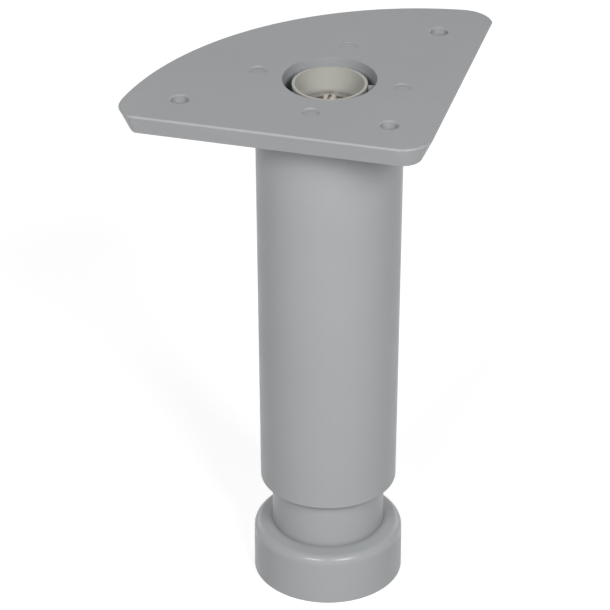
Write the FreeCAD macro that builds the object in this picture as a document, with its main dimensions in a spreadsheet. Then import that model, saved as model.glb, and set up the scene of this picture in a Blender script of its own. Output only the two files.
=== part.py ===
import FreeCAD
import Part
import Sketcher

import math
import os
from types import SimpleNamespace

# Adjustable cabinet leg, in millimetres. The origin is on the leg's axis in the floor plane, +Z is up,
# +X runs along the plate's front edge and +Y along its right edge. The foot stands partly screwed out.

SHEET_NAME = "Dims"

DIMENSIONS = {
    # Overall: the body from plate to tube end, the neck that shows below it, and how the foot travels
    "body_length": 124.5,
    "neck_shown": 14.75,
    "stop_gap": 1.0,
    "travel_down": 10.0,
    # Plate: a quarter disc centred on its own right-angled corner, with sides that slope in
    "plate_margin": 14.45,
    "plate_arc": 85.2,
    "plate_thickness": 6.2,
    "plate_slope_angle": 25.2,
    "plate_corner": 8.25,
    "plate_end": 9.65,
    "plate_end_inset": 8.45,
    "plate_tip": 3.25,
    "plate_rim": 0.55,
    # Screw holes and moulding marks in the plate
    "screw_hole": 4.8,
    "screw_inset": 12.85,
    "screw_end": 15.75,
    "screw_mouth": 0.3,
    "mark_diameter": 5.0,
    "mark_inset": 0.25,
    "mark_slope_angle": 40.0,
    "mark_right_depth": 0.4,
    "mark_back_depth": 0.2,
    "mark_left_depth": 0.45,
    "mark_front_depth": 0.5,
    # Tube: its wall at the lower end, its taper on radius, and the well that holds the funnel
    "tube_wall": 2.95,
    "tube_taper": 1.0,
    "tube_root": 1.6,
    "tube_lip": 0.4,
    "well_diameter": 25.3,
    "well_rib": 1.4,
    "well_rib_drop": 0.45,
    "well_rib_angle": 10.0,
    "web_thickness": 4.0,
    # Guide funnel: a steep cup
    "funnel_clear": 2.55,
    "funnel_rim_depth": 1.35,
    "funnel_wall": 0.8,
    "funnel_depth": 7.15,
    "funnel_taper": 0.5,
    "funnel_floor": 2.4,
    # Spindle
    "journal": 3.8,
    "journal_rise": 3.2,
    "journal_chamfer": 0.3,
    "slot_width": 0.9,
    "slot_depth": 1.1,
    "collar_diameter": 16.0,
    "collar_thickness": 3.0,
    "thread": 8.0,
    "thread_chamfer": 0.8,
    "thread_reserve": 8.0,
    # Retaining ring and nut
    "ring_diameter": 10.4,
    "ring_thickness": 0.6,
    "ring_tongue": 1.5,
    "ring_slit": 0.7,
    "nut_flats": 13.0,
    "nut_thickness": 6.5,
    "nut_slope": 0.58,
    # Foot: base, neck, the hollow inside them and the keys on the neck
    "foot_flange": 5.2,
    "foot_edge": 15.05,
    "foot_dome": 0.7,
    "foot_shoulder": 2.4,
    "foot_toe": 0.25,
    "foot_wall": 2.5,
    "foot_recess": 1.0,
    "foot_rib": 2.0,
    "hub_floor": 4.0,
    "neck_diameter": 31.4,
    "neck_length": 79.25,
    "neck_lead": 0.6,
    "head_thickness": 14.0,
    "sleeve_wall": 2.4,
    "key_width": 4.0,
    "key_height": 1.0,
    "key_length": 20.0,
    "key_drop": 2.0,
    # Clearances
    "slide_gap": 0.35,
    "thrust_gap": 0.3,
    "running_gap": 0.08,
    "shank_gap": 0.6,
    "seat_gap": 0.1,
}

MARK_NAMES = ("right", "back", "left", "front")
RING_TONGUES = 6
FOOT_RIBS = 8
FOOT_KEYS = 4
HEXAGON = 6
FULL_TURN = 360.0
LEVEL_TOLERANCE = 1e-4
CUTS = ("PartDesign::Pocket", "PartDesign::Groove")

# How a sketch numbers the places on a line or an arc, its own axes, and the origin as a place on an axis
START, END, CENTRE = range(1, 4)
LEVEL_AXIS, UPRIGHT_AXIS = range(-1, -3, -1)
ORIGIN = (LEVEL_AXIS, START)


class Size:
    """A length that knows its number and the sheet expression that gives it."""

    def __init__(self, number, text):
        self.number = number
        self.text = text

    def __add__(self, other):
        other = as_size(other)
        return Size(self.number + other.number, f"({self.text} + {other.text})")

    def __sub__(self, other):
        other = as_size(other)
        return Size(self.number - other.number, f"({self.text} - {other.text})")

    def __mul__(self, other):
        other = as_size(other)
        return Size(self.number * other.number, f"({self.text} * {other.text})")

    def __truediv__(self, other):
        other = as_size(other)
        return Size(self.number / other.number, f"({self.text} / {other.text})")


def as_size(value):
    """Plain numbers, such as the 2 of a half, become sizes too."""
    return value if isinstance(value, Size) else Size(float(value), repr(float(value)))


def fill_sheet(doc):
    """Writes every driving dimension to its own aliased cell and gives them back as sizes."""
    sheet = doc.addObject("Spreadsheet::Sheet", SHEET_NAME)
    sizes = SimpleNamespace()
    for row, (name, number) in enumerate(DIMENSIONS.items(), start=1):
        sheet.set(f"A{row}", name)
        sheet.set(f"B{row}", str(number))
        sheet.setAlias(f"B{row}", name)
        setattr(sizes, name, Size(number, f"{SHEET_NAME}.{name}"))
    doc.recompute()
    return sizes


def share_sizes(d):
    """Levels and radii that follow from the driving dimensions and that several pieces share."""
    s = SimpleNamespace()
    s.foot_root = d.foot_edge + d.foot_dome
    s.tube_foot = s.foot_root + d.neck_shown
    s.height = s.tube_foot + d.body_length
    s.travel_up = d.neck_shown - d.stop_gap

    s.neck_radius = d.neck_diameter / 2
    s.neck_top = s.foot_root + d.neck_length
    s.nut_seat = s.neck_top - d.nut_thickness
    s.key_top = s.neck_top - d.key_drop
    s.tube_bore = s.neck_radius + d.slide_gap
    s.tube_end_radius = s.tube_bore + d.tube_wall
    s.tube_top_radius = s.tube_end_radius + d.tube_taper
    s.plate_edge = s.tube_top_radius + d.plate_margin

    s.well_radius = d.well_diameter / 2
    s.funnel_radius = s.well_radius - d.funnel_clear
    s.funnel_top = s.height - d.funnel_rim_depth
    s.cup_floor = s.funnel_top - d.funnel_depth
    s.web_top = s.cup_floor - d.funnel_floor
    s.web_bottom = s.web_top - d.web_thickness

    s.journal_radius = d.journal / 2
    s.thread_radius = d.thread / 2
    s.sleeve_bore = s.thread_radius + d.shank_gap
    return s


def add_body(doc, label):
    body = doc.addObject("PartDesign::Body", label)
    body.Label = label
    return body


def add_sketch(body, name, role, level=None):
    """A sketch on one of the body's own origin planes, raised along the plane's normal by level."""
    sketch = body.newObject("Sketcher::SketchObject", name)
    plane = next(feature for feature in body.Origin.OriginFeatures if feature.Role == role)
    sketch.AttachmentSupport = [(plane, "")]
    sketch.MapMode = "FlatFace"
    if level is not None:
        sketch.setExpression("AttachmentOffset.Base.z", level.text)
    return sketch


def tie(sketch, kind, *places):
    """Adds a geometric constraint, such as a coincidence or a tangent."""
    return sketch.addConstraint(Sketcher.Constraint(kind, *places))


def hold(sketch, kind, *places, size):
    """Adds a dimension and binds it to the sheet."""
    index = tie(sketch, kind, *places, size.number)
    sketch.setExpression(f"Constraints[{index}]", size.text)


def add_loop(sketch, points):
    """Straight sides through the points, closed, and gives the number of the first side."""
    first = sketch.GeometryCount
    count = len(points)
    for i, start in enumerate(points):
        sketch.addGeometry(Part.LineSegment(start, points[(i + 1) % count]), False)
    for i in range(count):
        tie(sketch, "Coincident", first + i, END, first + (i + 1) % count, START)
    return first


def draw_polygon(sketch, corners):
    """A closed outline with each corner at a pair of sizes, where None puts it on that axis."""
    points = [FreeCAD.Vector(x.number if x else 0.0, y.number if y else 0.0, 0.0) for x, y in corners]
    first = add_loop(sketch, points)
    for side, (x, y) in enumerate(corners, start=first):
        for kind, axis, size in (("DistanceX", UPRIGHT_AXIS, x), ("DistanceY", LEVEL_AXIS, y)):
            if size:
                hold(sketch, kind, *ORIGIN, side, START, size=size)
            else:
                tie(sketch, "PointOnObject", side, START, axis)


def round_corner(sketch, side, radius):
    """Rounds the corner where a side starts, while the corner's own dimensions go on holding it."""
    arc = sketch.GeometryCount
    sketch.fillet(side, START, radius.number, True, True)
    hold(sketch, "Radius", arc, size=radius)


def draw_circle(sketch, diameter, across=None, along=None):
    """A circle on the axis, or at two offsets from it, each a pair of size and sign."""
    centre = FreeCAD.Vector(0.0, 0.0, 0.0)
    if across:
        centre = FreeCAD.Vector(across[0].number * across[1], along[0].number * along[1], 0.0)
    ring = Part.Circle(centre, FreeCAD.Vector(0, 0, 1), diameter.number / 2)
    circle = sketch.addGeometry(ring, False)
    hold(sketch, "Diameter", circle, size=diameter)
    if not across:
        tie(sketch, "Coincident", circle, CENTRE, *ORIGIN)
        return
    for kind, (size, sign) in (("DistanceX", across), ("DistanceY", along)):
        ends = (*ORIGIN, circle, CENTRE) if sign > 0 else (circle, CENTRE, *ORIGIN)
        hold(sketch, kind, *ends, size=size)


def draw_centred_strip(sketch, start, end, width):
    """A rectangle along the sketch's x axis, from start to end, with its width shared about the axis."""
    half = width.number / 2
    low_start = FreeCAD.Vector(start.number, -half, 0.0)
    low_end = FreeCAD.Vector(end.number, -half, 0.0)
    high_end = FreeCAD.Vector(end.number, half, 0.0)
    high_start = FreeCAD.Vector(start.number, half, 0.0)
    low = add_loop(sketch, [low_start, low_end, high_end, high_start])
    far, high, near = low + 1, low + 2, low + 3
    tie(sketch, "Horizontal", low)
    tie(sketch, "Horizontal", high)
    tie(sketch, "Vertical", near)
    tie(sketch, "Symmetric", low, END, far, END, LEVEL_AXIS)
    hold(sketch, "DistanceY", far, START, far, END, size=width)
    hold(sketch, "DistanceX", *ORIGIN, low, END, size=end)
    hold(sketch, "DistanceX", low, START, low, END, size=end - start)


def draw_hexagon(sketch, flats):
    """A hexagon about the axis, given by its size across flats."""
    radius = flats / math.sqrt(3.0)
    origin = FreeCAD.Vector(0.0, 0.0, 0.0)
    circle = sketch.addGeometry(Part.Circle(origin, FreeCAD.Vector(0, 0, 1), radius.number), True)
    tie(sketch, "Coincident", circle, CENTRE, *ORIGIN)
    hold(sketch, "Radius", circle, size=radius)
    angles = [2 * math.pi / HEXAGON * i for i in range(HEXAGON)]
    first = add_loop(sketch, [FreeCAD.Vector(math.cos(a), math.sin(a), 0.0) * radius.number for a in angles])
    for side in range(first, first + HEXAGON):
        tie(sketch, "PointOnObject", side, START, circle)
    for side in range(first + 1, first + HEXAGON):
        tie(sketch, "Equal", first, side)
    tie(sketch, "PointOnObject", first, START, LEVEL_AXIS)


def add_arc(sketch, centre, radius, start, stop):
    circle = Part.Circle(centre, FreeCAD.Vector(0, 0, 1), radius)
    return sketch.addGeometry(Part.ArcOfCircle(circle, start, stop), False)


def draw_plate_outline(sketch, d, s):
    """Two straight edges, a large arc centred where they would meet, a rounded corner and two rounded ends.

    Each end's arc stands a little too far out to run into its straight edge, so a small tip joins the two.
    """
    edge, arc, corner = s.plate_edge.number, d.plate_arc.number, d.plate_corner.number
    end, inset, tip = d.plate_end.number, d.plate_end_inset.number, d.plate_tip.number
    quarter = math.pi / 2
    reach = math.sqrt((arc - end) ** 2 - inset ** 2)
    lean = math.atan2(inset, reach)
    turn = math.acos((inset - tip) / (end - tip))
    tip_reach = reach + (end - tip) * math.sin(turn)

    meeting = FreeCAD.Vector(edge, -edge, 0.0)
    front_start = meeting - FreeCAD.Vector(tip_reach, 0.0, 0.0)
    front_stop = meeting - FreeCAD.Vector(corner, 0.0, 0.0)
    right_start = meeting + FreeCAD.Vector(0.0, corner, 0.0)
    right_stop = meeting + FreeCAD.Vector(0.0, tip_reach, 0.0)
    corner_centre = meeting + FreeCAD.Vector(-corner, corner, 0.0)
    back_tip_centre = meeting + FreeCAD.Vector(-tip, tip_reach, 0.0)
    back_centre = meeting + FreeCAD.Vector(-inset, reach, 0.0)
    left_centre = meeting + FreeCAD.Vector(-reach, inset, 0.0)
    left_tip_centre = meeting + FreeCAD.Vector(-tip_reach, tip, 0.0)

    front = sketch.addGeometry(Part.LineSegment(front_start, front_stop), False)
    corner_arc = add_arc(sketch, corner_centre, corner, -quarter, 0.0)
    right = sketch.addGeometry(Part.LineSegment(right_start, right_stop), False)
    back_tip = add_arc(sketch, back_tip_centre, tip, 0.0, turn)
    back_end = add_arc(sketch, back_centre, end, turn, quarter + lean)
    rim_arc = add_arc(sketch, meeting, arc, quarter + lean, 2 * quarter - lean)
    left_end = add_arc(sketch, left_centre, end, 2 * quarter - lean, 3 * quarter - turn)
    left_tip = add_arc(sketch, left_tip_centre, tip, 3 * quarter - turn, 3 * quarter)

    loop = (front, corner_arc, right, back_tip, back_end, rim_arc, left_end, left_tip)
    for piece, following in zip(loop, loop[1:] + loop[:1]):
        tie(sketch, "Tangent", piece, END, following, START)
    tie(sketch, "Horizontal", front)
    tie(sketch, "Vertical", right)
    tie(sketch, "PointOnObject", rim_arc, CENTRE, front)
    tie(sketch, "PointOnObject", rim_arc, CENTRE, right)
    hold(sketch, "DistanceX", *ORIGIN, rim_arc, CENTRE, size=s.plate_edge)
    hold(sketch, "DistanceY", rim_arc, CENTRE, *ORIGIN, size=s.plate_edge)
    hold(sketch, "DistanceX", back_end, CENTRE, rim_arc, CENTRE, size=d.plate_end_inset)
    hold(sketch, "DistanceY", rim_arc, CENTRE, left_end, CENTRE, size=d.plate_end_inset)
    hold(sketch, "Radius", rim_arc, size=d.plate_arc)
    hold(sketch, "Radius", corner_arc, size=d.plate_corner)
    for arcs, radius in (((back_end, left_end), d.plate_end), ((back_tip, left_tip), d.plate_tip)):
        for piece in arcs:
            hold(sketch, "Radius", piece, size=radius)


def turn_profile(body, kind, sketch, name):
    """A Revolution or a Groove about the leg's axis."""
    feature = body.newObject(kind, name)
    feature.Profile = sketch
    feature.ReferenceAxis = (sketch, ["V_Axis"])
    feature.Angle = FULL_TURN
    body.Document.recompute()
    return feature


def extrude(body, kind, sketch, name, length=None, slope=None, reverse=False, centred=False):
    """A Pad or a Pocket. A slope draws its sides in, and a Pocket with no length goes through everything."""
    feature = body.newObject(kind, name)
    feature.Profile = sketch
    feature.Reversed = reverse
    feature.Midplane = centred
    if length is None:
        feature.Type = "ThroughAll"
    else:
        feature.setExpression("Length", length.text)
    if slope is not None:
        feature.setExpression("TaperAngle", f"-{slope.text}")
    body.Document.recompute()
    return feature


def repeat_round(body, feature, name, count):
    """Copies a feature evenly round the leg's axis."""
    pattern = body.newObject("PartDesign::PolarPattern", name)
    pattern.Originals = [feature]
    axis = next(item for item in body.Origin.OriginFeatures if item.Role == "Z_Axis")
    pattern.Axis = (axis, [""])
    pattern.Angle = FULL_TURN
    pattern.Occurrences = count
    body.Tip = pattern
    body.Document.recompute()
    return pattern


def edges_at(feature, level, radius=None, closed=True):
    """Names of the edges in the plane z = level: full circles, of one radius if given, or open edges."""
    names = []
    for i, edge in enumerate(feature.Shape.Edges, start=1):
        box = edge.BoundBox
        if max(abs(box.ZMin - level.number), abs(box.ZMax - level.number)) > LEVEL_TOLERANCE:
            continue
        if edge.isClosed() != closed:
            continue
        if radius is not None and abs(edge.Curve.Radius - radius.number) > LEVEL_TOLERANCE:
            continue
        names.append(f"Edge{i}")
    return names


def bevel_edges(body, base, name, edges, width):
    feature = body.newObject("PartDesign::Chamfer", name)
    feature.Base = (base, edges)
    feature.setExpression("Size", width.text)
    body.Document.recompute()
    return feature


# Leg body: plate and tube in one moulding
def make_leg_body(doc, d, s):
    body = add_body(doc, "leg_body")
    outline = add_sketch(body, "plate_outline", "XY_Plane", s.height)
    draw_plate_outline(outline, d, s)
    slope = d.plate_slope_angle
    plate = extrude(body, "PartDesign::Pad", outline, "plate", d.plate_thickness, slope, reverse=True)
    bevel_edges(body, plate, "plate_rim", edges_at(plate, s.height, closed=False), d.plate_rim)

    well = add_sketch(body, "well_circle", "XY_Plane", s.height)
    draw_circle(well, d.well_diameter)
    extrude(body, "PartDesign::Pocket", well, "well")

    journal_hole = s.journal_radius + d.running_gap
    plate_bottom = s.height - d.plate_thickness
    root_radius = s.tube_top_radius + d.tube_root
    section = add_sketch(body, "tube_section", "XZ_Plane")
    draw_polygon(section, [
        (root_radius, s.height),
        (root_radius, plate_bottom),
        (s.tube_top_radius, plate_bottom - d.tube_root),
        (s.tube_end_radius, s.tube_foot),
        (s.tube_bore, s.tube_foot),
        (s.tube_bore, s.web_bottom),
        (journal_hole, s.web_bottom),
        (journal_hole, s.web_top),
        (s.well_radius, s.web_top),
        (s.well_radius, s.height),
    ])
    tube = turn_profile(body, "PartDesign::Revolution", section, "tube")
    lip_edge = edges_at(tube, s.tube_foot, s.tube_end_radius)
    bevel_edges(body, tube, "tube_lip", lip_edge, d.tube_lip)

    add_well_rib(body, d, s)
    cut_screw_holes(body, d, s)
    cut_marks(body, d, s)
    cut_key_ways(body, d, s)
    return body


def add_well_rib(body, d, s):
    """A rib up the well's wall that steadies the funnel."""
    sketch = add_sketch(body, "well_rib_outline", "XY_Plane", s.web_top)
    sketch.setExpression("AttachmentOffset.Rotation.Angle", d.well_rib_angle.text)
    draw_centred_strip(sketch, s.funnel_radius + d.seat_gap, s.well_radius + d.tube_wall / 2, d.well_rib)
    extrude(body, "PartDesign::Pad", sketch, "well_rib", s.funnel_top - d.well_rib_drop - s.web_top)


def cut_screw_holes(body, d, s):
    """Three through holes on a right triangle, set in from the plate's straight edges and from its arc."""
    near = s.plate_edge - d.screw_inset
    far = d.plate_arc - s.plate_edge - d.screw_end
    sketch = add_sketch(body, "screw_circles", "XY_Plane", s.height)
    draw_circle(sketch, d.screw_hole, (near, 1), (near, -1))
    draw_circle(sketch, d.screw_hole, (far, -1), (near, -1))
    draw_circle(sketch, d.screw_hole, (near, 1), (far, 1))
    holes = extrude(body, "PartDesign::Pocket", sketch, "screw_holes")
    mouths = edges_at(holes, s.height, d.screw_hole / 2)
    bevel_edges(body, holes, "screw_mouths", mouths, d.screw_mouth)


def cut_marks(body, d, s):
    """Shallow dished moulding marks over the tube's wall, one on each axis, each with its own depth."""
    radius = s.tube_top_radius - d.mark_inset
    for i, name in enumerate(MARK_NAMES):
        sketch = add_sketch(body, f"mark_{name}_circle", "XY_Plane", s.height)
        sketch.setExpression("AttachmentOffset.Rotation.Angle", str(FULL_TURN / len(MARK_NAMES) * i))
        spot = FreeCAD.Vector(radius.number, 0.0, 0.0)
        mark = sketch.addGeometry(Part.Circle(spot, FreeCAD.Vector(0, 0, 1), d.mark_diameter.number / 2))
        tie(sketch, "PointOnObject", mark, CENTRE, LEVEL_AXIS)
        hold(sketch, "DistanceX", *ORIGIN, mark, CENTRE, size=radius)
        hold(sketch, "Diameter", mark, size=d.mark_diameter)
        depth = getattr(d, f"mark_{name}_depth")
        extrude(body, "PartDesign::Pocket", sketch, f"mark_{name}", depth, d.mark_slope_angle)


def cut_key_ways(body, d, s):
    """Grooves up the inside of the tube, in which the foot's keys slide."""
    sketch = add_sketch(body, "key_way_outline", "XY_Plane", s.tube_foot)
    floor = s.tube_bore + d.key_height
    draw_centred_strip(sketch, s.neck_radius, floor, d.key_width + d.slide_gap * 2)
    reach = s.neck_top + s.travel_up - s.tube_foot
    way = extrude(body, "PartDesign::Pocket", sketch, "key_way", reach, reverse=True)
    repeat_round(body, way, "key_ways", FOOT_KEYS)


# Guide funnel: a steep cup that leads a screwdriver to the spindle
def make_guide_funnel(doc, d, s):
    body = add_body(doc, "guide_funnel")
    inside = s.funnel_radius - d.funnel_wall
    hole = s.journal_radius + d.slide_gap
    section = add_sketch(body, "funnel_section", "XZ_Plane")
    draw_polygon(section, [
        (s.funnel_radius, s.funnel_top),
        (s.funnel_radius - d.funnel_taper, s.web_top),
        (hole, s.web_top),
        (hole, s.cup_floor),
        (inside - d.funnel_taper, s.cup_floor),
        (inside, s.funnel_top),
    ])
    turn_profile(body, "PartDesign::Revolution", section, "funnel")
    return body


# Adjusting spindle: slotted journal, thrust collar under the web, and the shank that carries the thread
def make_adjusting_spindle(doc, d, s):
    body = add_body(doc, "adjusting_spindle")
    top = s.cup_floor + d.journal_rise
    collar = d.collar_diameter / 2
    collar_top = s.web_bottom - d.thrust_gap
    collar_foot = collar_top - d.collar_thickness
    end = s.nut_seat - d.travel_down - d.thread_reserve
    section = add_sketch(body, "spindle_section", "XZ_Plane")
    draw_polygon(section, [
        (None, top),
        (s.journal_radius - d.journal_chamfer, top),
        (s.journal_radius, top - d.journal_chamfer),
        (s.journal_radius, collar_top),
        (collar, collar_top),
        (collar, collar_foot),
        (s.thread_radius, collar_foot),
        (s.thread_radius, end + d.thread_chamfer),
        (s.thread_radius - d.thread_chamfer, end),
        (None, end),
    ])
    turn_profile(body, "PartDesign::Revolution", section, "spindle")

    slot_floor = top - d.slot_depth
    half = d.slot_width / 2
    slot = add_sketch(body, "slot_outline", "XZ_Plane")
    draw_polygon(slot, [(half, slot_floor), (half, top), (half * -1, top), (half * -1, slot_floor)])
    extrude(body, "PartDesign::Pocket", slot, "slot", d.journal * 2, centred=True)
    return body


# Retaining ring: a thin ring whose inner tongues grip the journal
def make_retaining_ring(doc, d, s):
    body = add_body(doc, "retaining_ring")
    seat = s.cup_floor + d.thrust_gap
    outline = add_sketch(body, "ring_outline", "XY_Plane", seat)
    draw_circle(outline, d.ring_diameter)
    draw_circle(outline, d.journal)
    extrude(body, "PartDesign::Pad", outline, "ring", d.ring_thickness)
    slit = add_sketch(body, "slit_outline", "XY_Plane", seat)
    draw_centred_strip(slit, s.journal_radius / 2, s.journal_radius + d.ring_tongue, d.ring_slit)
    cut = extrude(body, "PartDesign::Pocket", slit, "slit", d.ring_thickness, reverse=True)
    repeat_round(body, cut, "slits", RING_TONGUES)
    return body


# Spindle nut: a hexagon nut with its corners bevelled on both faces
def make_spindle_nut(doc, d, s):
    body = add_body(doc, "spindle_nut")
    outline = add_sketch(body, "nut_outline", "XY_Plane", s.nut_seat)
    draw_hexagon(outline, d.nut_flats)
    draw_circle(outline, d.thread + d.running_gap * 2)
    extrude(body, "PartDesign::Pad", outline, "nut", d.nut_thickness)
    inside = d.nut_flats / 2
    outside = d.nut_flats
    drop = (outside - inside) * d.nut_slope
    faces = {"top": (s.neck_top, s.neck_top - drop), "bottom": (s.nut_seat, s.nut_seat + drop)}
    for name, (face, slant) in faces.items():
        section = add_sketch(body, f"{name}_bevel_section", "XZ_Plane")
        draw_polygon(section, [(inside, face), (outside, face), (outside, slant)])
        turn_profile(body, "PartDesign::Groove", section, f"{name}_bevel")
    return body


# Foot: base and neck in one moulding, cored from below, with a nut pocket in its head
def make_foot(doc, d, s):
    body = add_body(doc, "foot")
    rim = s.neck_radius + d.foot_flange
    shoulder = (rim, d.foot_edge)
    corners = [
        (None, None),
        (rim, None),
        shoulder,
        (s.neck_radius, s.foot_root),
        (s.neck_radius, s.neck_top),
        (s.sleeve_bore, s.neck_top),
        (s.sleeve_bore, d.hub_floor),
        (None, d.hub_floor),
    ]
    section = add_sketch(body, "foot_section", "XZ_Plane")
    draw_polygon(section, corners)
    round_corner(section, corners.index(shoulder), d.foot_shoulder)
    form = turn_profile(body, "PartDesign::Revolution", section, "foot_form")
    floor = as_size(0.0)
    toe = bevel_edges(body, form, "toe", edges_at(form, floor, rim), d.foot_toe)
    bevel_edges(body, toe, "lead", edges_at(toe, s.neck_top, s.neck_radius), d.neck_lead)

    core_foot(body, d, s, rim - d.foot_wall)
    pocket = add_sketch(body, "nut_pocket_outline", "XY_Plane", s.neck_top)
    draw_hexagon(pocket, d.nut_flats + d.seat_gap * 2)
    extrude(body, "PartDesign::Pocket", pocket, "nut_pocket", d.nut_thickness)
    add_keys(body, d, s)
    return body


def core_foot(body, d, s, inner):
    """The hollow between the skin and the spindle's sleeve, open below, with ribs across it."""
    sleeve = s.sleeve_bore + d.sleeve_wall
    skin = s.neck_radius - d.foot_wall
    base_roof = d.foot_edge - d.foot_wall
    head_foot = s.neck_top - d.head_thickness
    core = add_sketch(body, "core_section", "XZ_Plane")
    draw_polygon(core, [
        (sleeve, None),
        (inner, None),
        (inner, base_roof),
        (skin, base_roof),
        (skin, head_foot),
        (sleeve, head_foot),
    ])
    turn_profile(body, "PartDesign::Groove", core, "core")

    root = s.sleeve_bore + d.sleeve_wall / 2
    bite = d.foot_wall / 2
    outline = add_sketch(body, "foot_rib_outline", "XZ_Plane")
    draw_polygon(outline, [
        (root, d.foot_recess),
        (inner + bite, d.foot_recess),
        (inner + bite, base_roof + bite),
        (skin + bite, base_roof + bite),
        (skin + bite, head_foot + bite),
        (root, head_foot + bite),
    ])
    rib = extrude(body, "PartDesign::Pad", outline, "foot_rib", d.foot_rib, centred=True)
    repeat_round(body, rib, "foot_ribs", FOOT_RIBS)


def add_keys(body, d, s):
    """Keys on the hidden upper neck that run in the tube's grooves and stop the foot turning."""
    sketch = add_sketch(body, "key_outline", "XY_Plane", s.key_top)
    draw_centred_strip(sketch, s.neck_radius - d.foot_wall / 2, s.neck_radius + d.key_height, d.key_width)
    key = extrude(body, "PartDesign::Pad", sketch, "key", d.key_length, reverse=True)
    repeat_round(body, key, "keys", FOOT_KEYS)


def check(doc, bodies):
    """Stops before anything is written if an object failed, a cut missed or a shape isn't one solid."""
    doc.recompute()
    for item in doc.Objects:
        if "Invalid" in item.State or "Error" in item.State:
            raise RuntimeError(f"{item.Name} failed: {item.State}")
        if item.TypeId in CUTS and item.Shape.Volume >= item.BaseFeature.Shape.Volume:
            raise RuntimeError(f"{item.Name} cut nothing away")
    for body in bodies:
        shape = body.Shape
        if shape.isNull() or not shape.isValid() or len(shape.Solids) != 1:
            raise RuntimeError(f"{body.Label} is not one valid solid")


def main():
    doc = FreeCAD.newDocument("cabinet_leg")
    d = fill_sheet(doc)
    s = share_sizes(d)
    makers = (
        make_leg_body, make_guide_funnel, make_adjusting_spindle,
        make_retaining_ring, make_spindle_nut, make_foot,
    )
    bodies = [make(doc, d, s) for make in makers]
    check(doc, bodies)
    os.makedirs("parts", exist_ok=True)
    for body in bodies:
        body.Shape.exportStep(os.path.join("parts", f"{body.Label}.step"))
        box = body.Shape.BoundBox
        print(f"{body.Label}: {body.Shape.Volume:.1f} mm3, z {box.ZMin:.2f} to {box.ZMax:.2f}")


main()
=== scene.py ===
import math

import bmesh
import bpy
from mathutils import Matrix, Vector


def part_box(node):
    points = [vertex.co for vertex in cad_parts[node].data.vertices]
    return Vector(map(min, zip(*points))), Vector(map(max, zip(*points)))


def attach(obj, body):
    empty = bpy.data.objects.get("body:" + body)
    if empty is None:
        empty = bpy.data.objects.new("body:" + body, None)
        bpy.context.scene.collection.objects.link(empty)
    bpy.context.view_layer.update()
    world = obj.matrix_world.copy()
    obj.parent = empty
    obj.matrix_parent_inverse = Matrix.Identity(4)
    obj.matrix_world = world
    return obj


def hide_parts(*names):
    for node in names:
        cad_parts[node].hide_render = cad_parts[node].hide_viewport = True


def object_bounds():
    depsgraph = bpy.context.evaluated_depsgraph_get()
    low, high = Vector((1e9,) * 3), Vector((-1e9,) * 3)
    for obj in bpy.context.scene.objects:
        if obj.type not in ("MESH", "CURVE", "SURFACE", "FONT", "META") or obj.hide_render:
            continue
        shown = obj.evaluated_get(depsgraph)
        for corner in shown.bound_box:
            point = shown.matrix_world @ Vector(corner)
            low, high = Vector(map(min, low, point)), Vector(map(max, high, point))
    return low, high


# Looks of the adjustable cabinet leg. Lengths are in metres unless a name ends in _MM.

MM = 0.001

# Camera, from the photograph: where it stands, where it looks and its lens
CAMERA_MM = (215.53, -830.54, 592.57)
TARGET_MM = (-3.89, -10.82, 90.87)
LENS_MM = 214.1
SENSOR_MM = 36.0

# Light: a faint even surround, and soft square lamps round the leg
SURROUND = 0.06
LAMP_DISTANCE = 1.4

# Lamps: bearing from the front to the right and height, in degrees, width in metres and power in watts
LAMPS = {
    "right": (41.0, 35.0, 0.5, 10.1),
    "left": (-9.0, 35.0, 0.45, 8.1),
    "rear_right": (160.0, 20.0, 0.7, 4.0),
    "rear_left": (-130.0, 20.0, 0.7, 4.0),
}

# Floor: its size, its paint and how much it glows to the camera
FLOOR_SIZE = 8.0
FLOOR_COLOUR = (0.65, 0.65, 0.65, 1.0)
FLOOR_ROUGHNESS = 0.9
FLOOR_GLOSS = 0.1
FLOOR_GLOW = 0.66

# Colours, linear
WHITE = (1.0, 1.0, 1.0, 1.0)
GREY = (0.410, 0.422, 0.433)
PALE = (0.485, 0.48, 0.44)
ZINC_YELLOW = (0.50, 0.48, 0.41)
ZINC_PINK = (0.47, 0.43, 0.39)
ZINC_BRIGHT = (0.62, 0.62, 0.61)
ZINC_DULL = (0.48, 0.48, 0.48)
# Painted shade for the cup's floor
PAINTED_FLOOR_SHADE = (0.20, 0.175, 0.165)
OILED_DARK = (0.12, 0.095, 0.085)
OILED_LIGHT = (0.20, 0.165, 0.15)

# Noise: the range that most of its values fall in, and its detail where nothing else is said
NOISE_RANGE = (0.3, 0.7)
NOISE_DETAIL = 3.0

# Inputs and output of a mix node for colours and for numbers
MIX_SOCKETS = {"RGBA": (6, 7, 2), "FLOAT": (2, 3, 0)}

# Plastic colour: clouds between two shades, and darker specks with the most that they cover
CLOUD_LENGTH = 28.0 * MM
CLOUD_SHADES = (0.975, 1.02)
SPECK_LENGTH = 0.5 * MM
SPECK_DETAIL = 2.0
SPECK_SHADE = 0.86
SPECK_COVER = 0.14

# Painted shade in the plastic's creases: its darkness, its reach, and how open the darkest and the unshaded
# faces are
CREASE_PAINTED_SHADE = 0.62
CREASE_REACH = 1.8 * MM
CREASE_RANGE = (0.4, 0.95)
CREASE_SAMPLES = 8

# Plastic gloss: matt and polished faces, how far the roughness wanders, and the foot's polished shoulder
MATT_GLOSS = 0.12
MATT_ROUGHNESS = 0.36
POLISHED_GLOSS = 0.34
POLISHED_ROUGHNESS = 0.21
GLOSS_LENGTH = 6.0 * MM
GLOSS_WANDER = (-0.04, 0.05)
SHOULDER = (13.4 * MM, 14.4 * MM)
SHOULDER_EDGE = 1.0 * MM

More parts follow.
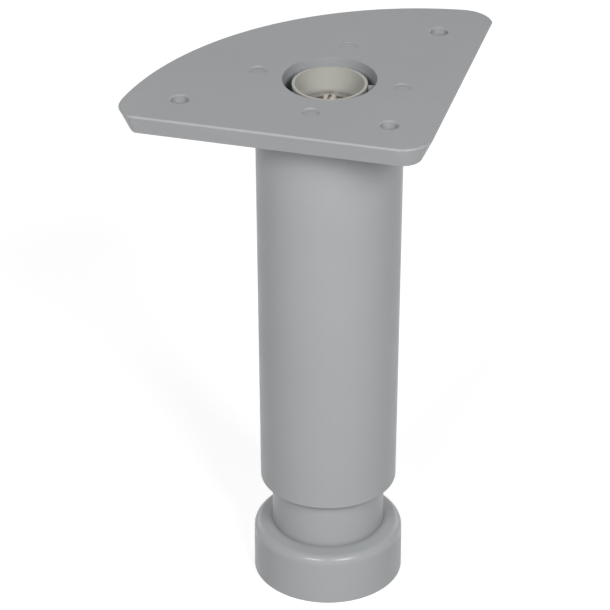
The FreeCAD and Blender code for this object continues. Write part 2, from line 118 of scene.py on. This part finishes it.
# Plastic relief: flow ripples, longer along the leg, and a fine grain
RIPPLE_LENGTH = 9.0 * MM
RIPPLE_DETAIL = 1.0
RIPPLE_STRETCH = (1.0, 1.0, 3.0)
RIPPLE_DEPTH = 0.02 * MM
GRAIN_LENGTH = 0.35 * MM
GRAIN_DETAIL = 2.0
GRAIN_DEPTH = 0.008 * MM

# Painted shade on the cup's floor: its drop below the ring, its fade up the wall, its patches and what they
# cover
FLOOR_SHADE_DROP = 0.2 * MM
FLOOR_SHADE_FADE = 0.6 * MM
FLOOR_SHADE_LENGTH = 2.5 * MM
FLOOR_SHADE_COVER = (0.15, 0.65)

# Steel: patches of two tints, how far the roughness wanders, and fine turning marks round the axis
OILED_ROUGHNESS = 0.38
ZINC_ROUGHNESS = 0.34
PATCH_LENGTH = 1.6 * MM
DULL_LENGTH = 0.8 * MM
DULL_WANDER = (-0.06, 0.10)
TURNING_LENGTH = 0.12 * MM
TURNING_DETAIL = 1.0
TURNING_STRETCH = (20.0, 20.0, 1.0)
TURNING_DEPTH = 0.006 * MM

# Spindle, as the solid it stands for, with the thread's crest and root as shares of its pitch
JOURNAL_RADIUS = 1.9 * MM
JOURNAL_LENGTH = 9.9 * MM
JOURNAL_BEVEL = 0.3 * MM
SLOT_WIDTH = 0.9 * MM
SLOT_DEPTH = 1.1 * MM
COLLAR_RADIUS = 8.0 * MM
COLLAR_THICKNESS = 3.0 * MM
COLLAR_BEVEL = 0.25 * MM
THREAD_RADIUS = 4.0 * MM
THREAD_DEPTH = 0.77 * MM
THREAD_PITCH = 1.25 * MM
THREAD_CREST = 0.16
THREAD_ROOT = 0.25

# Spindle's mesh: how finely it is divided, and from which angle, in degrees, an edge is sharp
TURN_STEPS = 64
SLOT_STEPS = 6
SHARP_ANGLE = 35.0
MERGE_DISTANCE = 0.0001 * MM


def new_tree(name):
    """A node material, its tree and its shader."""
    material = bpy.data.materials.new(name)
    material.use_nodes = True
    tree = material.node_tree
    shader = tree.nodes["Principled BSDF"]
    return material, tree, shader


def add_node(tree, kind, **values):
    """A node with the named properties or inputs set."""
    node = tree.nodes.new(kind)
    for name, value in values.items():
        if name in node.inputs:
            node.inputs[name].default_value = value
        else:
            setattr(node, name, value)
    return node


def feed(tree, socket, value):
    """Links an input to another node's output, or sets it to a plain value."""
    if isinstance(value, bpy.types.NodeSocket):
        tree.links.new(value, socket)
    else:
        socket.default_value = value


def map_range(tree, value, source, target=(0.0, 1.0)):
    """Takes a number from one range to another, and stops at its ends."""
    span = add_node(tree, "ShaderNodeMapRange")
    feed(tree, span.inputs["Value"], value)
    limits = ("From Min", "From Max", "To Min", "To Max")
    for name, limit in zip(limits, (*source, *target)):
        span.inputs[name].default_value = limit
    return span.outputs["Result"]


def combine(tree, operation, first, second):
    """One number from two."""
    result = add_node(tree, "ShaderNodeMath", operation=operation)
    feed(tree, result.inputs[0], first)
    feed(tree, result.inputs[1], second)
    return result.outputs["Value"]


def mix(tree, kind, factor, values):
    """Goes from the first value to the second with the factor."""
    *inputs, output = MIX_SOCKETS[kind]
    node = add_node(tree, "ShaderNodeMix", data_type=kind)
    feed(tree, node.inputs["Factor"], factor)
    for index, value in zip(inputs, values):
        feed(tree, node.inputs[index], value)
    return node.outputs[output]


def mix_numbers(tree, factor, first, second):
    return mix(tree, "FLOAT", factor, (first, second))


def mix_colours(tree, factor, first, second):
    """Either may be a colour or another node's output."""
    values = [(*value, 1.0) if isinstance(value, tuple) else value for value in (first, second)]
    return mix(tree, "RGBA", factor, values)


def shade(colour, factor):
    return tuple(channel * factor for channel in colour)


def own_place(tree):
    """The place on the piece, in its own space."""
    return add_node(tree, "ShaderNodeTexCoord").outputs["Object"]


def add_noise(tree, length, detail=NOISE_DETAIL, stretch=(1.0, 1.0, 1.0)):
    """Noise in the piece's own space, with features of about the given length, stretched along the axes."""
    mapping = add_node(tree, "ShaderNodeMapping")
    mapping.inputs["Scale"].default_value = [1.0 / (length * s) for s in stretch]
    noise = add_node(tree, "ShaderNodeTexNoise", Scale=1.0, Detail=detail)
    tree.links.new(own_place(tree), mapping.inputs["Vector"])
    tree.links.new(mapping.outputs["Vector"], noise.inputs["Vector"])
    return noise.outputs["Fac"]


def wander(tree, length, limits, **noise):
    """A number that wanders between two limits over the piece."""
    return map_range(tree, add_noise(tree, length, **noise), NOISE_RANGE, limits)


def add_bump(tree, shader, layers):
    """Bump from several heights, each a noise and its depth in metres."""
    previous = None
    for height, depth in layers:
        bump = add_node(tree, "ShaderNodeBump", Strength=1.0, Distance=depth)
        tree.links.new(height, bump.inputs["Height"])
        if previous:
            tree.links.new(previous.outputs["Normal"], bump.inputs["Normal"])
        previous = bump
    tree.links.new(previous.outputs["Normal"], shader.inputs["Normal"])


def find_creases(tree):
    """0 deep in a crease of the piece and 1 on its open faces."""
    openness = add_node(tree, "ShaderNodeAmbientOcclusion", only_local=True, Distance=CREASE_REACH)
    openness.samples = CREASE_SAMPLES
    return map_range(tree, openness.outputs["AO"], CREASE_RANGE)


def find_band(tree, low, high, edge):
    """1 between two heights of the piece and 0 away from them, with soft edges."""
    place = add_node(tree, "ShaderNodeSeparateXYZ")
    tree.links.new(own_place(tree), place.inputs["Vector"])
    height = place.outputs["Z"]
    above = map_range(tree, height, (low - edge, low))
    below = map_range(tree, height, (high + edge, high))
    return combine(tree, "MULTIPLY", above, below)


def add_floor_shade(tree, colour):
    """Patches of painted shade over a colour, from the cup's floor down."""
    ring_low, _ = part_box("retaining_ring")
    on_floor = find_band(tree, 0.0, ring_low.z - FLOOR_SHADE_DROP, FLOOR_SHADE_FADE)
    cover = combine(tree, "MULTIPLY", on_floor, wander(tree, FLOOR_SHADE_LENGTH, FLOOR_SHADE_COVER))
    return mix_colours(tree, cover, colour, PAINTED_FLOOR_SHADE)


# Moulded plastic: cloudy colour, specks, painted shade in creases, a satin gloss that varies, and grain over
# ripples
def moulded_plastic(name, colour, gloss, roughness, polished=None, painted_floor_shade=False):
    """A band between two heights may be polished, and the cup's floor may get patches of painted shade."""
    material, tree, shader = new_tree(name)
    cloud = wander(tree, CLOUD_LENGTH, (0.0, 1.0))
    base = mix_colours(tree, cloud, *(shade(colour, factor) for factor in CLOUD_SHADES))
    specks = wander(tree, SPECK_LENGTH, (0.0, SPECK_COVER), detail=SPECK_DETAIL)
    base = mix_colours(tree, specks, base, shade(colour, SPECK_SHADE))
    # Painted shade: darkens the piece's own creases, holes and recesses, where shade falls
    base = mix_colours(tree, find_creases(tree), shade(colour, CREASE_PAINTED_SHADE), base)
    # Painted shade: darker patches on the cup's floor, where shade falls
    if painted_floor_shade:
        base = add_floor_shade(tree, base)
    dullness = wander(tree, GLOSS_LENGTH, [roughness + change for change in GLOSS_WANDER])
    if polished:
        band = find_band(tree, *polished, SHOULDER_EDGE)
        dullness = mix_numbers(tree, band, dullness, POLISHED_ROUGHNESS)
        gloss = mix_numbers(tree, band, gloss, POLISHED_GLOSS)
    feed(tree, shader.inputs["Base Color"], base)
    feed(tree, shader.inputs["Roughness"], dullness)
    feed(tree, shader.inputs["Specular IOR Level"], gloss)
    ripple = add_noise(tree, RIPPLE_LENGTH, RIPPLE_DETAIL, RIPPLE_STRETCH)
    grain = add_noise(tree, GRAIN_LENGTH, GRAIN_DETAIL)
    add_bump(tree, shader, [(ripple, RIPPLE_DEPTH), (grain, GRAIN_DEPTH)])
    return material


# Plated or oiled steel: two tints of the finish in patches, with fine turning marks round the axis
def finished_steel(name, first, second, roughness):
    material, tree, shader = new_tree(name)
    shader.inputs["Metallic"].default_value = 1.0
    patches = wander(tree, PATCH_LENGTH, (0.0, 1.0))
    dullness = wander(tree, DULL_LENGTH, [roughness + change for change in DULL_WANDER])
    feed(tree, shader.inputs["Base Color"], mix_colours(tree, patches, first, second))
    feed(tree, shader.inputs["Roughness"], dullness)
    turning = add_noise(tree, TURNING_LENGTH, TURNING_DETAIL, TURNING_STRETCH)
    add_bump(tree, shader, [(turning, TURNING_DEPTH)])
    return material


def dress(node, material):
    """Gives a node of the frame its material."""
    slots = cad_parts[node].data.materials
    slots.clear()
    slots.append(material)


def add_piece(name, mesh, material, body):
    """A new piece of the object, smooth except at its sharp edges, that rides on a body."""
    mesh.normal_update()
    data = bpy.data.meshes.new(name)
    mesh.to_mesh(data)
    mesh.free()
    data.materials.append(material)
    data.shade_smooth()
    data.set_sharp_from_angle(angle=math.radians(SHARP_ANGLE))
    piece = bpy.data.objects.new(name, data)
    bpy.context.scene.collection.objects.link(piece)
    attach(piece, body)
    return piece


def even_angles():
    return [math.tau * i / TURN_STEPS for i in range(TURN_STEPS)]


def turn_round(angles, turn):
    return [angle + turn for angle in angles]


def add_ring(mesh, radius, height, angles):
    """Points at the given angles, which run from the front towards the right."""
    return [mesh.verts.new((radius * math.sin(a), -radius * math.cos(a), height)) for a in angles]


def join_rings(mesh, rings):
    """Quads between neighbouring rings of as many points, from the top down."""
    for upper, lower in zip(rings, rings[1:]):
        count = len(upper)
        for i in range(count):
            following = (i + 1) % count
            mesh.faces.new((upper[i], lower[i], lower[following], upper[following]))


def split_by_slot(radius):
    """Angles along the right half of the slotted top, and those inside the slot's back end."""
    half_slot = math.asin(SLOT_WIDTH / 2 / radius)
    half_steps = TURN_STEPS // 2 - SLOT_STEPS
    sweep = math.pi - 2 * half_slot
    beside = [half_slot + sweep * i / half_steps for i in range(half_steps + 1)]
    inside = [math.pi - half_slot + 2 * half_slot * i / SLOT_STEPS for i in range(1, SLOT_STEPS)]
    return beside, inside


def add_head(mesh, top):
    """The journal's slotted top, with a bevel round its outer edge. Gives the angles of its lower rim."""
    rim, floor = [], []
    beside, inside = split_by_slot(JOURNAL_RADIUS)
    beside_top, _ = split_by_slot(JOURNAL_RADIUS - JOURNAL_BEVEL)
    for turn in (0.0, math.pi):
        levels = [
            add_ring(mesh, JOURNAL_RADIUS - JOURNAL_BEVEL, top, turn_round(beside_top, turn)),
            add_ring(mesh, JOURNAL_RADIUS, top - JOURNAL_BEVEL, turn_round(beside, turn)),
            add_ring(mesh, JOURNAL_RADIUS, top - SLOT_DEPTH, turn_round(beside, turn)),
        ]
        join_rings(mesh, levels)
        mesh.faces.new(levels[0])
        slot_end = turn_round(inside, turn)
        floor += [levels[-1][0], levels[-1][-1]]
        floor += add_ring(mesh, JOURNAL_RADIUS, top - SLOT_DEPTH, slot_end)
        rim += turn_round(beside, turn) + slot_end
    mesh.faces.new(floor)
    return rim


def add_thread(mesh, top, end):
    """A helical thread that runs out at two heights. Crest, flank, root and flank go round as one strip."""
    flank = (1.0 - THREAD_CREST - THREAD_ROOT) / 2
    root_radius = THREAD_RADIUS - THREAD_DEPTH
    profile = (
        (0.0, THREAD_RADIUS),
        (THREAD_CREST, THREAD_RADIUS),
        (THREAD_CREST + flank, root_radius),
        (THREAD_CREST + flank + THREAD_ROOT, root_radius),
        (1.0, THREAD_RADIUS),
    )
    turns = math.ceil((top - end) / THREAD_PITCH) + 1
    rows = []
    for step in range(turns * TURN_STEPS + 1):
        angle = math.tau * step / TURN_STEPS
        row = []
        for offset, radius in profile:
            height = end + THREAD_PITCH * (step / TURN_STEPS + offset - 1.0)
            height = min(max(height, end), top)
            reach = min(radius, root_radius + height - end, root_radius + top - height)
            row += add_ring(mesh, reach, height, [angle])
        rows.append(row)
    for row, following in zip(rows, rows[1:]):
        for i in range(len(profile) - 1):
            mesh.faces.new((row[i], following[i], following[i + 1], row[i + 1]))


# Spindle with its slotted top, collar and rolled thread
def make_spindle(material):
    low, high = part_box("adjusting_spindle")
    top, end = high.z, low.z
    collar_top = top - JOURNAL_LENGTH
    collar_foot = collar_top - COLLAR_THICKNESS
    root_radius = THREAD_RADIUS - THREAD_DEPTH
    collar_profile = (
        (COLLAR_RADIUS - COLLAR_BEVEL, collar_top),
        (COLLAR_RADIUS, collar_top - COLLAR_BEVEL),
        (COLLAR_RADIUS, collar_foot + COLLAR_BEVEL),
        (COLLAR_RADIUS - COLLAR_BEVEL, collar_foot),
        (root_radius, collar_foot),
    )
    mesh = bmesh.new()
    rim = add_head(mesh, top)
    journal = [add_ring(mesh, JOURNAL_RADIUS, height, rim) for height in (top - SLOT_DEPTH, collar_top)]
    collar = [add_ring(mesh, radius, height, even_angles()) for radius, height in collar_profile]
    join_rings(mesh, journal + collar)
    add_thread(mesh, collar_foot, end)
    mesh.faces.new(reversed(add_ring(mesh, root_radius, end, even_angles())))
    bmesh.ops.remove_doubles(mesh, verts=mesh.verts, dist=MERGE_DISTANCE)
    piece = add_piece("threaded_spindle", mesh, material, "spindle")
    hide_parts("adjusting_spindle")


def make_camera():
    place = Vector(CAMERA_MM) * MM
    target = Vector(TARGET_MM) * MM
    data = bpy.data.cameras.new("camera")
    data.lens = LENS_MM
    data.sensor_width = SENSOR_MM
    camera = bpy.data.objects.new("camera", data)
    camera.location = place
    camera.rotation_euler = (target - place).to_track_quat("-Z", "Y").to_euler()
    bpy.context.scene.collection.objects.link(camera)
    bpy.context.scene.camera = camera


def make_lamp(name, bearing, height, width, watts):
    """A soft square lamp, aimed at the middle of the leg."""
    turn, rise = math.radians(bearing), math.radians(height)
    level = math.cos(rise)
    towards = Vector((math.sin(turn) * level, -math.cos(turn) * level, math.sin(rise)))
    data = bpy.data.lights.new(name, "AREA")
    data.shape = "SQUARE"
    data.size = width
    data.energy = watts
    lamp = bpy.data.objects.new(name, data)
    low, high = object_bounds()
    lamp.location = (low + high) / 2 + towards * LAMP_DISTANCE
    lamp.rotation_euler = towards.to_track_quat("Z", "Y").to_euler()
    bpy.context.scene.collection.objects.link(lamp)


def seen_directly(tree):
    """1 for what the camera sees straight, mirrored or through glass, and 0 for the light on things."""
    path = add_node(tree, "ShaderNodeLightPath")
    total = path.outputs["Is Camera Ray"]
    for name in ("Is Glossy Ray", "Is Transmission Ray"):
        total = combine(tree, "MAXIMUM", total, path.outputs[name])
    return total


def make_world():
    world = bpy.data.worlds.new("surround")
    world.use_nodes = True
    bpy.context.scene.world = world
    tree = world.node_tree
    background = tree.nodes["Background"]
    background.inputs["Color"].default_value = WHITE
    level = map_range(tree, seen_directly(tree), (0.0, 1.0), (SURROUND, 1.0))
    tree.links.new(level, background.inputs["Strength"])


def make_floor():
    """A pale floor that the camera sees as nearly white, with the leg's shadow on it. It follows the foot."""
    mesh = bmesh.new()
    bmesh.ops.create_grid(mesh, x_segments=1, y_segments=1, size=FLOOR_SIZE / 2)
    data = bpy.data.meshes.new("floor")
    mesh.to_mesh(data)
    mesh.free()
    floor = bpy.data.objects.new("floor", data)
    bpy.context.scene.collection.objects.link(floor)
    material, tree, shader = new_tree("floor_paint")
    shader.inputs["Base Color"].default_value = FLOOR_COLOUR
    shader.inputs["Roughness"].default_value = FLOOR_ROUGHNESS
    shader.inputs["Specular IOR Level"].default_value = FLOOR_GLOSS
    shader.inputs["Emission Color"].default_value = WHITE
    glow = map_range(tree, seen_directly(tree), (0.0, 1.0), (0.0, FLOOR_GLOW))
    tree.links.new(glow, shader.inputs["Emission Strength"])
    data.materials.append(material)
    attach(floor, "foot")


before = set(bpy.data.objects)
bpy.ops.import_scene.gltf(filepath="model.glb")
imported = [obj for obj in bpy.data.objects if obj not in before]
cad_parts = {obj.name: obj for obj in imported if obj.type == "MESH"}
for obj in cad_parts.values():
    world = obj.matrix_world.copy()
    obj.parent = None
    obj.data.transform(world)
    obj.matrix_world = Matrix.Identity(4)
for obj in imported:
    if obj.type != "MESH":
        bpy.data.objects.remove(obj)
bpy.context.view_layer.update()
bpy.context.scene.view_settings.view_transform = "Standard"

dress("leg_body", moulded_plastic("grey_plastic", GREY, MATT_GLOSS, MATT_ROUGHNESS))
dress("foot", moulded_plastic("foot_plastic", GREY, MATT_GLOSS, MATT_ROUGHNESS, polished=SHOULDER))
dress("guide_funnel", moulded_plastic("pale_plastic", PALE, POLISHED_GLOSS, POLISHED_ROUGHNESS, painted_floor_shade=True))
dress("retaining_ring", finished_steel("spring_steel", OILED_DARK, OILED_LIGHT, OILED_ROUGHNESS))
dress("spindle_nut", finished_steel("nut_steel", ZINC_BRIGHT, ZINC_DULL, ZINC_ROUGHNESS))
make_spindle(finished_steel("zinc_steel", ZINC_YELLOW, ZINC_PINK, ZINC_ROUGHNESS))

make_camera()
for lamp_name, settings in LAMPS.items():
    make_lamp(lamp_name, *settings)
make_world()
make_floor()
